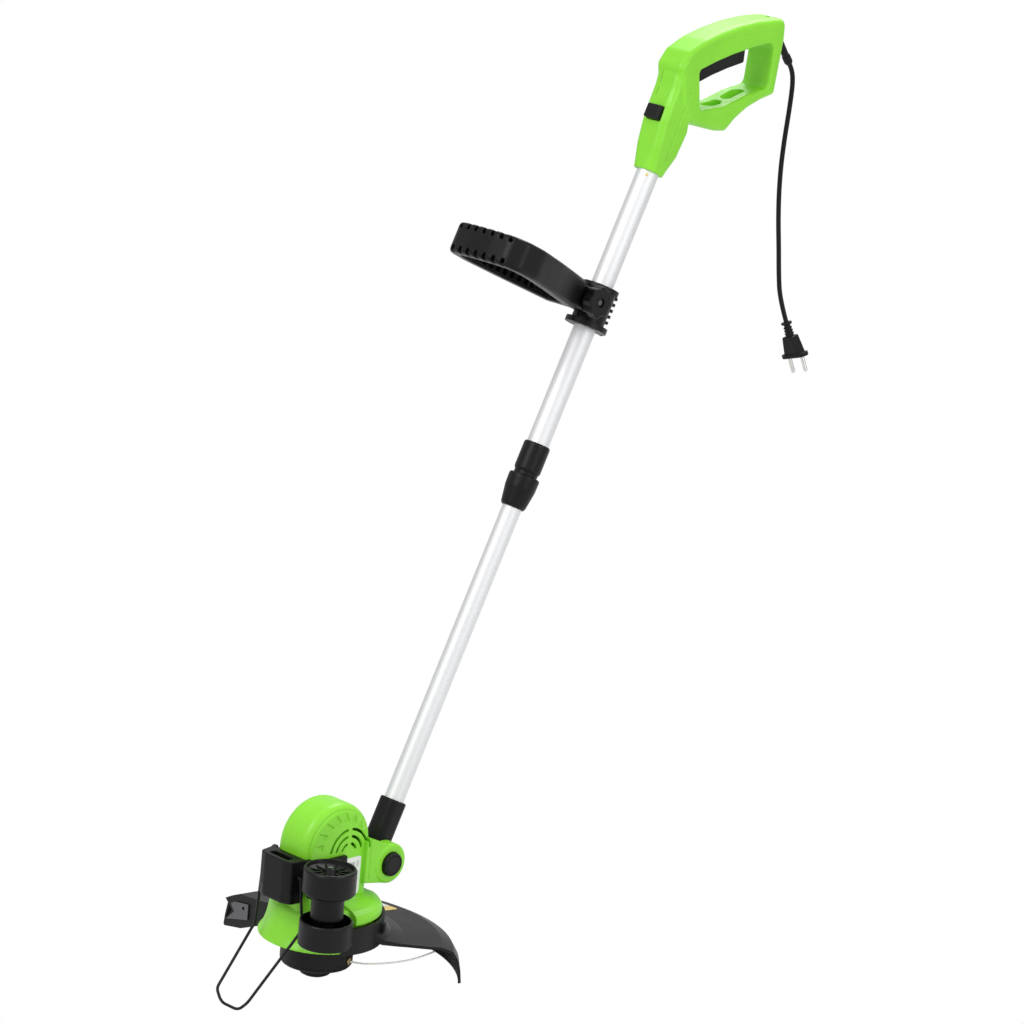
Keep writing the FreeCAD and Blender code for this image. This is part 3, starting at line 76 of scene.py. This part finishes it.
# ------------------------------------------------------------------ materials
class Nodes:
    def __init__(self, name):
        self.mat = bpy.data.materials.new(name)
        self.mat.use_nodes = True
        self.t = self.mat.node_tree
        self.t.nodes.clear()
        self.out = self.new("ShaderNodeOutputMaterial")
        self.bsdf = self.new("ShaderNodeBsdfPrincipled")
        self.t.links.new(self.bsdf.outputs[0], self.out.inputs[0])
        self.co = self.new("ShaderNodeTexCoord").outputs["Object"]

    def new(self, kind, **kw):
        n = self.t.nodes.new(kind)
        for k, v in kw.items():
            setattr(n, k, v)
        return n

    def put(self, sock, v):
        if isinstance(v, bpy.types.NodeSocket):
            self.t.links.new(v, sock)
        else:
            sock.default_value = v

    def math(self, op, a, b=0.0, c=0.0, clamp=False):
        n = self.new("ShaderNodeMath", operation=op, use_clamp=clamp)
        for s, v in zip(n.inputs, (a, b, c)):
            self.put(s, v)
        return n.outputs[0]

    def mapped(self, rot=(0, 0, 0), scale=(1, 1, 1), loc=(0, 0, 0)):
        n = self.new("ShaderNodeMapping")
        self.t.links.new(self.co, n.inputs["Vector"])
        n.inputs["Rotation"].default_value = rot
        n.inputs["Scale"].default_value = scale
        n.inputs["Location"].default_value = loc
        return n.outputs[0]

    def noise(self, scale, detail=3.0, rough=0.5, vec=None):
        n = self.new("ShaderNodeTexNoise")
        self.t.links.new(vec or self.co, n.inputs["Vector"])
        n.inputs["Scale"].default_value = scale
        n.inputs["Detail"].default_value = detail
        n.inputs["Roughness"].default_value = rough
        return n.outputs["Fac"]

    def ramp(self, fac, lo, hi, a=(0, 0, 0, 1), b=(1, 1, 1, 1)):
        n = self.new("ShaderNodeValToRGB")
        n.color_ramp.elements[0].position, n.color_ramp.elements[1].position = lo, hi
        n.color_ramp.elements[0].color, n.color_ramp.elements[1].color = a, b
        self.t.links.new(fac, n.inputs[0])
        return n.outputs[0]

    def mix(self, fac, a, b, how="MIX"):
        n = self.new("ShaderNodeMix", data_type="RGBA", blend_type=how)
        self.put(n.inputs[0], fac)
        self.put(n.inputs[6], a)
        self.put(n.inputs[7], b)
        return n.outputs[2]

    def surface(self, height, strength, dist, edge):
        bev = self.new("ShaderNodeBevel", samples=4)
        bev.inputs["Radius"].default_value = edge
        bump = self.new("ShaderNodeBump")
        bump.inputs["Strength"].default_value = strength
        bump.inputs["Distance"].default_value = dist
        self.t.links.new(height, bump.inputs["Height"])
        self.t.links.new(bev.outputs[0], bump.inputs["Normal"])
        self.t.links.new(bump.outputs[0], self.bsdf.inputs["Normal"])


def c4(c, k=1.0):
    return (min(1, c[0] * k), min(1, c[1] * k), min(1, c[2] * k), 1)


def plastic(name, col, rough, grain=2600.0, bump=0.12, edge=0.0009, wear=0.25, coat=0.0, spec=0.5):
    n = Nodes(name)
    n.bsdf.inputs["Specular IOR Level"].default_value = spec
    tone = n.ramp(n.noise(23.0, 4.0), 0.3, 0.75, c4(col, 0.93), c4(col, 1.05))
    fine = n.ramp(n.noise(900.0, 2.0), 0.35, 0.7, (0.95, 0.95, 0.95, 1), (1.03, 1.03, 1.03, 1))
    tone = n.mix(1.0, tone, fine, "MULTIPLY")
    geo = n.new("ShaderNodeNewGeometry")
    edge_f = n.ramp(geo.outputs["Pointiness"], 0.52, 0.62)
    worn = n.math("MULTIPLY", edge_f, n.math("MULTIPLY", n.noise(160.0, 4.0), wear))
    tone = n.mix(worn, tone, c4([min(1, c * 1.25 + 0.03) for c in col]))
    n.put(n.bsdf.inputs["Base Color"], tone)
    smudge = n.noise(34.0, 5.0, 0.6)
    n.put(n.bsdf.inputs["Roughness"], n.math("MULTIPLY_ADD", smudge, 0.16, rough - 0.08))
    n.bsdf.inputs["Coat Weight"].default_value = coat
    n.bsdf.inputs["Coat Roughness"].default_value = 0.25
    n.surface(n.noise(grain, 2.0, 0.6), bump, 0.00012, edge)
    return n.mat


def metal(name, col, rough, streak=(0, 0, 0), scale=(900, 900, 12), bump=0.06, edge=0.0004, amount=1.0):
    n = Nodes(name)
    vec = n.mapped(rot=streak, scale=scale)
    lines = n.noise(1.0, 4.0, 0.65, vec)
    tone = n.ramp(lines, 0.3, 0.72, c4(col, 1 - 0.07 * amount), c4(col, 1 + 0.04 * amount))
    spots = n.ramp(n.noise(210.0, 5.0, 0.7), 0.2, 0.5, (0.9, 0.9, 0.9, 1), (1, 1, 1, 1))
    n.put(n.bsdf.inputs["Base Color"], n.mix(0.5 * amount, tone, spots, "MULTIPLY"))
    n.bsdf.inputs["Metallic"].default_value = 1.0
    n.put(n.bsdf.inputs["Roughness"], n.math("MULTIPLY_ADD", lines, 0.18 * amount, rough - 0.09 * amount))
    n.surface(lines, bump, 0.00005, edge)
    return n.mat


def head_axes(n):
    """Local right (x) and up (z) of the head in millimetres."""
    sep = n.new("ShaderNodeSeparateXYZ")
    n.t.links.new(n.co, sep.inputs[0])
    dx = n.math("SUBTRACT", sep.outputs[0], H0.x)
    dz = n.math("SUBTRACT", sep.outputs[2], H0.z)
    x = n.math("MULTIPLY", n.math("ADD", n.math("MULTIPLY", dx, HX.x), n.math("MULTIPLY", dz, HX.z)), 1000.0)
    z = n.math("MULTIPLY", n.math("ADD", n.math("MULTIPLY", dx, HZ.x), n.math("MULTIPLY", dz, HZ.z)), 1000.0)
    y = n.math("MULTIPLY", sep.outputs[1], 1000.0)
    return x, y, z


def span(n, v, a, b):
    return n.math("MULTIPLY", n.math("GREATER_THAN", v, a), n.math("LESS_THAN", v, b))


def rating_film():
    n = Nodes("white_label")
    x, y, z = head_axes(n)
    bars = n.math("MULTIPLY", n.math("GREATER_THAN", n.math("FRACT", n.math("MULTIPLY", z, 0.42)), 0.66), span(n, z, 99, 122))
    bars = n.math("MULTIPLY", bars, span(n, x, 11.5, 27.0))
    head = n.math("MULTIPLY", span(n, z, 126, 131.5), span(n, x, 11.5, 22.0))
    box = n.math("MULTIPLY", span(n, z, 125.5, 132.5), span(n, x, 24.0, 28.0))
    ink = n.math("MAXIMUM", n.math("MAXIMUM", n.math("MULTIPLY", bars, 0.45), n.math("MULTIPLY", head, 0.55)), n.math("MULTIPLY", box, 0.4))
    ink = n.math("MULTIPLY", ink, n.ramp(n.noise(1500.0, 2.0), 0.3, 0.6, (0.6, 0.6, 0.6, 1), (1, 1, 1, 1)))
    paper = n.ramp(n.noise(60.0, 3.0), 0.3, 0.7, (0.86, 0.86, 0.85, 1), (0.93, 0.93, 0.92, 1))
    n.put(n.bsdf.inputs["Base Color"], n.mix(ink, paper, (0.12, 0.12, 0.13, 1)))
    n.put(n.bsdf.inputs["Roughness"], n.math("MULTIPLY_ADD", n.noise(80.0), 0.1, 0.3))
    n.surface(n.noise(1800.0, 2.0), 0.04, 0.00005, 0.0003)
    return n.mat


def yellow_film():
    n = Nodes("yellow_film")
    x, y, z = head_axes(n)
    left = n.math("LESS_THAN", y, 17.0)
    orange = n.ramp(n.noise(70.0, 3.0), 0.3, 0.7, (0.80, 0.55, 0.13, 1), (0.90, 0.66, 0.22, 1))
    white = n.ramp(n.noise(70.0, 3.0), 0.3, 0.7, (0.84, 0.84, 0.83, 1), (0.93, 0.93, 0.92, 1))
    base = n.mix(left, white, orange)
    rim = n.math("MULTIPLY", n.math("GREATER_THAN", n.math("FRACT", n.math("MULTIPLY", y, 0.33)), 0.7), span(n, y, 18.5, 28.0))
    n.put(n.bsdf.inputs["Base Color"], n.mix(n.math("MULTIPLY", rim, 0.5), base, (0.1, 0.1, 0.1, 1)))
    n.put(n.bsdf.inputs["Roughness"], n.math("MULTIPLY_ADD", n.noise(80.0), 0.1, 0.32))
    n.surface(n.noise(1800.0, 2.0), 0.04, 0.00005, 0.0003)
    return n.mat


def nylon():
    n = Nodes("nylon_line")
    tone = n.ramp(n.noise(120.0, 3.0), 0.3, 0.7, (0.90, 0.91, 0.90, 1), (0.97, 0.98, 0.97, 1))
    n.put(n.bsdf.inputs["Base Color"], tone)
    n.bsdf.inputs["Subsurface Weight"].default_value = 0.15
    n.bsdf.inputs["Subsurface Scale"].default_value = 0.002
    n.put(n.bsdf.inputs["Roughness"], n.math("MULTIPLY_ADD", n.noise(300.0), 0.15, 0.3))
    n.surface(n.noise(1500.0, 2.0), 0.1, 0.00005, 0.0002)
    return n.mat


TUBE_ROT = (0, -math.radians(32.2), 0)
MAT = {
    "green_plastic": plastic("green_plastic", (0.255, 0.76, 0.028), 0.42, bump=0.10, edge=0.0011, coat=0.05),
    "black_plastic": plastic("black_plastic", (0.0052, 0.0052, 0.0058), 0.40, bump=0.16, edge=0.0008, spec=0.22),
    "black_button": plastic("black_button", (0.0085, 0.0085, 0.0092), 0.46, grain=1900.0, bump=0.22, edge=0.0008, spec=0.22),
    "cord_rubber": plastic("cord_rubber", (0.006, 0.006, 0.0064), 0.5, grain=1500.0, bump=0.2, edge=0.0006, spec=0.22),
    "black_wire": plastic("black_wire", (0.007, 0.007, 0.0078), 0.36, grain=1200.0, bump=0.1, edge=0.0004, spec=0.22),
    "aluminium_tube": metal("aluminium_tube", (0.84, 0.845, 0.855), 0.60, TUBE_ROT, (600, 600, 10), 0.02, 0.0004, 0.35),
    "dark_steel": metal("dark_steel", (0.16, 0.16, 0.17), 0.42, (0, 0, 0), (700, 700, 90)),
    "steel": metal("steel", (0.60, 0.60, 0.61), 0.34, (0, 0, 0), (700, 700, 90)),
    "spring_steel": metal("spring_steel", (0.48, 0.48, 0.50), 0.32, (0, 0, 0), (600, 600, 600)),
    "plug_metal": metal("plug_metal", (0.80, 0.79, 0.76), 0.22, (0, 0, 0), (500, 500, 60)),
    "copper_core": metal("copper_core", (0.36, 0.20, 0.12), 0.5, (0, 0, 0), (300, 300, 1500)),
    "brass": metal("brass", (0.72, 0.56, 0.27), 0.3, (0, 0, 0), (500, 500, 90)),
    "carbon": plastic("carbon", (0.03, 0.03, 0.03), 0.6),
    "inner_plastic": plastic("inner_plastic", (0.56, 0.56, 0.53), 0.45),
    "white_label": rating_film(),
    "yellow_film": yellow_film(),
    "nylon_line": nylon(),
}
for dark in ("line_cutter_blade", "aux_clamp_bolt", "roller_axle"):
    SLOT[dark] = "dark_steel"
for name, o in frame["nodes"].items():
    o.data.materials.clear()
    o.data.materials.append(MAT[SLOT[name]])


# ------------------------------------------------------------------ pieces
def link(name, me, node, mat=None):
    ob = bpy.data.objects.new(name, me)
    S.collection.objects.link(ob)
    me.materials.clear()
    me.materials.append(mat or MAT[SLOT[node]])
    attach(ob, BODY[node])
    return ob


def moulded(left, right, name, voxel, iters, shape=None):
    """Both halves of a moulding as one remeshed, relaxed skin with rounded edges, then parted again at their joint line."""
    vs, fs = [], []
    for node in (left, right):
        me = frame["nodes"][node].data
        k = len(vs)
        vs += [v.co.copy() for v in me.vertices]
        fs += [tuple(k + i for i in p.vertices) for p in me.polygons]
    me = bpy.data.meshes.new(name)
    me.from_pydata(vs, [], fs)
    tmp = bpy.data.objects.new(name, me)
    S.collection.objects.link(tmp)
    m = tmp.modifiers.new("r", "REMESH")
    m.mode, m.voxel_size, m.use_smooth_shade = "VOXEL", voxel, True
    m = tmp.modifiers.new("s", "SMOOTH")
    m.factor, m.iterations = 0.5, iters
    dg = bpy.context.evaluated_depsgraph_get()
    skin = bpy.data.meshes.new_from_object(tmp.evaluated_get(dg))
    bpy.data.objects.remove(tmp)
    if shape:
        for v in skin.vertices:
            shape(v)
        skin.update()
    made = []
    for node, low in ((left, True), (right, False)):
        keep = [p for p in skin.polygons if (p.center.y < 0) == low]
        used = sorted({i for p in keep for i in p.vertices})
        at = {i: k for k, i in enumerate(used)}
        half = bpy.data.meshes.new(node + "_skin")
        half.from_pydata([skin.vertices[i].co for i in used], [], [tuple(at[i] for i in p.vertices) for p in keep])
        for p in half.polygons:
            p.use_smooth = True
        half.update()
        ob = link(node + "_skin", half, node)
        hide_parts(node)
        made.append(ob)
    return made


def cheek_groove(v):
    """A shallow groove round the arch on both cheeks of the motor housing."""
    d = v.co - H0
    x, z = d.dot(HX) * 1000 + 2.5, d.dot(HZ) * 1000 - 150.5
    r = math.hypot(x, z) if z > 0 else abs(x)
    if abs(v.co.y) > 0.0195 and z > -42 and abs(r - 42.6) < 1.5 and x < 43:
        k = math.cos((r - 42.6) / 1.5 * math.pi / 2) ** 2
        v.co.y -= math.copysign(0.0010 * k, v.co.y)


def handle_lines(v):
    """Two moulded lines down each side of the neck and one that runs under the top of the grip."""
    y = abs(v.co.y)
    if y < 0.0085:
        return
    x, z = v.co.x * 1000, v.co.z * 1000
    for pts, wide, deep in ((((-84.4, -17.0), (-113.7, -81.0)), 1.5, 0.8), (((-67.8, -39.1), (-106.7, -112.8)), 1.5, 0.8),
                            (((-78.2, -8.0), (-52.6, 1.9), (-11.9, 7.0), (32.7, 5.9), (74.6, 1.9)), 1.3, 0.55)):
        d = 1e9
        for (ax, az), (bx, bz) in zip(pts, pts[1:]):
            ux, uz = bx - ax, bz - az
            k = max(0.0, min(1.0, ((x - ax) * ux + (z - az) * uz) / (ux * ux + uz * uz)))
            d = min(d, math.hypot(x - ax - k * ux, z - az - k * uz))
        if d < wide:
            v.co.y -= math.copysign(0.001 * deep * math.cos(d / wide * math.pi / 2) ** 2, v.co.y)


def softened(node, voxel, iters):
    """One moulding remeshed and relaxed, so that its edges are rounded."""
    tmp = bpy.data.objects.new("tmp", frame["nodes"][node].data.copy())
    S.collection.objects.link(tmp)
    m = tmp.modifiers.new("r", "REMESH")
    m.mode, m.voxel_size, m.use_smooth_shade = "VOXEL", voxel, True
    m = tmp.modifiers.new("s", "SMOOTH")
    m.factor, m.iterations = 0.5, iters
    me = bpy.data.meshes.new_from_object(tmp.evaluated_get(bpy.context.evaluated_depsgraph_get()))
    bpy.data.objects.remove(tmp)
    for p in me.polygons:
        p.use_smooth = True
    me.name = node + "_skin"
    ob = link(node + "_skin", me, node)
    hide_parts(node)
    return ob


def lathe(name, node, profile, origin, direction, seg=96):
    """A turned piece: profile is (radius, distance along direction) in metres, closed on itself."""
    d = Vector(direction).normalized()
    a = d.orthogonal().normalized()
    b = d.cross(a)
    vs, fs = [], []
    for r, t in profile:
        for k in range(seg):
            w = 2 * math.pi * k / seg
            vs.append(Vector(origin) + d * t + (a * math.cos(w) + b * math.sin(w)) * r)
    n = len(profile)
    for i in range(n):
        j = (i + 1) % n
        for k in range(seg):
            q = (k + 1) % seg
            fs.append((i * seg + k, i * seg + q, j * seg + q, j * seg + k))
    me = bpy.data.meshes.new(name)
    me.from_pydata(vs, [], fs)
    me.update()
    ob = link(name, me, node)
    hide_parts(node)
    return ob


def curve(name, node, pts, dia):
    cu = bpy.data.curves.new(name, "CURVE")
    cu.dimensions = "3D"
    cu.bevel_depth, cu.bevel_resolution, cu.resolution_u = dia / 2, 8, 24
    cu.use_fill_caps = True
    sp = cu.splines.new("NURBS")
    sp.points.add(len(pts) - 1)
    for p, q in zip(sp.points, pts):
        p.co = (q[0] / 1000, q[1] / 1000, q[2] / 1000, 1)
    sp.order_u = 3
    sp.use_endpoint_u = True
    ob = bpy.data.objects.new(name, cu)
    S.collection.objects.link(ob)
    cu.materials.append(MAT[SLOT[node]])
    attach(ob, BODY[node])
    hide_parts(node)
    return ob


VOX = 0.0006
moulded("handle_shell_left", "handle_shell_right", "handle", VOX, 4, handle_lines)
moulded("motor_housing_left", "motor_housing_right", "housing", VOX, 2, cheek_groove)
for node, iters in (("aux_handle", 8), ("shaft_pivot_socket", 8), ("edging_bracket", 6), ("twist_lock_sleeve", 3)):
    softened(node, VOX + 0.0001, iters)

# springs, each copied into a mesh of its own on its body and listed with the joint of its button
SX = Vector((math.cos(math.radians(32.2)), 0, -math.sin(math.radians(32.2))))
for node, joint, axis, travel in (("trigger_spring", "trigger_squeeze", Vector((0, 0, 1)), 0.0018), ("shaft_lock_spring", "lock_button_press", SX, 0.0038),
                                  ("pivot_lock_spring", "pivot_button_press", Vector((0, 1, 0)), 0.0030), ("bump_spring", "bump_knob_press", HZ, 0.0030)):
    me = frame["nodes"][node].data.copy()
    ob = link(node + "_wound", me, node)
    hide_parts(node)
    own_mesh(ob)

# strain relief: collar, grooved taper and stepped end ring
ang = math.radians(180 - 32)
RD = Vector((math.sin(ang), 0, math.cos(ang)))
R0 = Vector((0.082, 0, 0.004))
prof = [(0.0028, -0.004), (0.0040, -0.004), (0.0040, 0.0024), (0.0051, 0.0030)]
t = 0.0060
while t < 0.0445:
    r = 0.0051 - (t - 0.003) / 0.042 * 0.0010
    prof += [(r, t), (r - 0.0004, t + 0.0005), (r - 0.0004, t + 0.0013), (r, t + 0.0018)]
    t += 0.0040
prof += [(0.0040, 0.0478), (0.0044, 0.0486), (0.0049, 0.0490), (0.0049, 0.0572), (0.0046, 0.0584), (0.0040, 0.0600), (0.0028, 0.0600)]
relief = lathe("cord_relief_sleeve", "cord_strain_relief", prof, R0, RD)

CORD = [(113.8, 0.0, -46.88), (119.09, 0.0, -55.36), (121.2, 0.2, -68.3), (120.0, 0.4, -82.0), (116.4, 0.7, -104.0), (109.6, 0.5, -134.0),
        (103.6, -0.2, -165.0), (100.8, -0.6, -197.0), (101.4, -0.2, -230.0), (104.4, 0.8, -262.0), (107.0, 2.2, -293.0),
        (107.67, 0.52, -322.3), (110.2, -8.0, -349.9)]
cord = curve("mains_cord_flex", "mains_cord", CORD, 0.0055)

LINE = [(-616.33, -39.37, -897.48), (-612.32, -51.74, -897.8), (-592.17, -65.5, -899.45), (-574.09, -75.5, -900.01), (-555.8, -83.6, -898.99),
        (-538.22, -89.5, -895.66)]
line = curve("cutting_line_flex", "cutting_line", LINE, 0.002)

# ------------------------------------------------------------------ stage
me = bpy.data.meshes.new("floor")
F, Z = 6.0, -0.945
me.from_pydata([(-F, -F, Z), (F, -F, Z), (F, F, Z), (-F, F, Z)], [], [(0, 1, 2, 3)])
floor = bpy.data.objects.new("floor", me)
S.collection.objects.link(floor)
fm = bpy.data.materials.new("floor")
fm.use_nodes = True
ft = fm.node_tree
ft.nodes.clear()
out, mx = ft.nodes.new("ShaderNodeOutputMaterial"), ft.nodes.new("ShaderNodeMixShader")
em, di, lp = ft.nodes.new("ShaderNodeEmission"), ft.nodes.new("ShaderNodeBsdfDiffuse"), ft.nodes.new("ShaderNodeLightPath")
em.inputs[1].default_value = 1.0
em.inputs[0].default_value = (1, 1, 1, 1)
di.inputs[0].default_value = (0.75, 0.75, 0.75, 1)
ft.links.new(lp.outputs["Is Camera Ray"], mx.inputs[0])
ft.links.new(di.outputs[0], mx.inputs[1])
ft.links.new(em.outputs[0], mx.inputs[2])
ft.links.new(mx.outputs[0], out.inputs[0])
me.materials.append(fm)

w = bpy.data.worlds.new("studio")
S.world = w
w.use_nodes = True
wt = w.node_tree
wt.nodes.clear()
wo, bg, bgc, mix, lpw = (wt.nodes.new(k) for k in ("ShaderNodeOutputWorld", "ShaderNodeBackground", "ShaderNodeBackground", "ShaderNodeMixShader", "ShaderNodeLightPath"))
bg.inputs[0].default_value, bg.inputs[1].default_value = (1, 1, 1, 1), 0.60
bgc.inputs[0].default_value, bgc.inputs[1].default_value = (1, 1, 1, 1), 1.0
wt.links.new(lpw.outputs["Is Camera Ray"], mix.inputs[0])
wt.links.new(bg.outputs[0], mix.inputs[1])
wt.links.new(bgc.outputs[0], mix.inputs[2])
wt.links.new(mix.outputs[0], wo.inputs[0])

A, E = math.radians(-45.3), math.radians(20.4)
B = Vector((math.sin(A) * math.cos(E), -math.cos(A) * math.cos(E), math.sin(E)))
R = Vector((math.cos(A), math.sin(A), 0))
U = B.cross(R)


def area(name, where, size, power):
    li = bpy.data.lights.new(name, "AREA")
    li.shape, li.size, li.size_y, li.energy = "RECTANGLE", size, size, power
    ob = bpy.data.objects.new(name, li)
    S.collection.objects.link(ob)
    ob.location = where
    ob.rotation_mode = "QUATERNION"
    ob.rotation_quaternion = (Vector((-0.3, 0, -0.45)) - where).to_track_quat("-Z", "Y")


MID = Vector((-0.3, 0, -0.45))
area("key", MID + B * 1.6 - R * 1.5 + Vector((0, 0, 1.8)), 1.4, 42)
area("fill", MID + B * 1.8 + R * 1.9 + Vector((0, 0, 0.5)), 1.6, 20)
area("rim", MID - B * 1.6 + R * 0.6 + Vector((0, 0, 2.2)), 1.2, 26)

cam = bpy.data.objects.new("camera", bpy.data.cameras.new("camera"))
S.collection.objects.link(cam)
cam.data.lens, cam.data.sensor_width, cam.data.clip_end = 148.366, 36, 100
M = Matrix.Identity(4)
for i, v in enumerate((R, U, B)):
    for k in range(3):
        M[k][i] = v[k]
M.translation = Vector((-3.3940, -3.0327, 1.1349))
cam.matrix_world = M
S.camera = cam
S.view_settings.view_transform = "Standard"
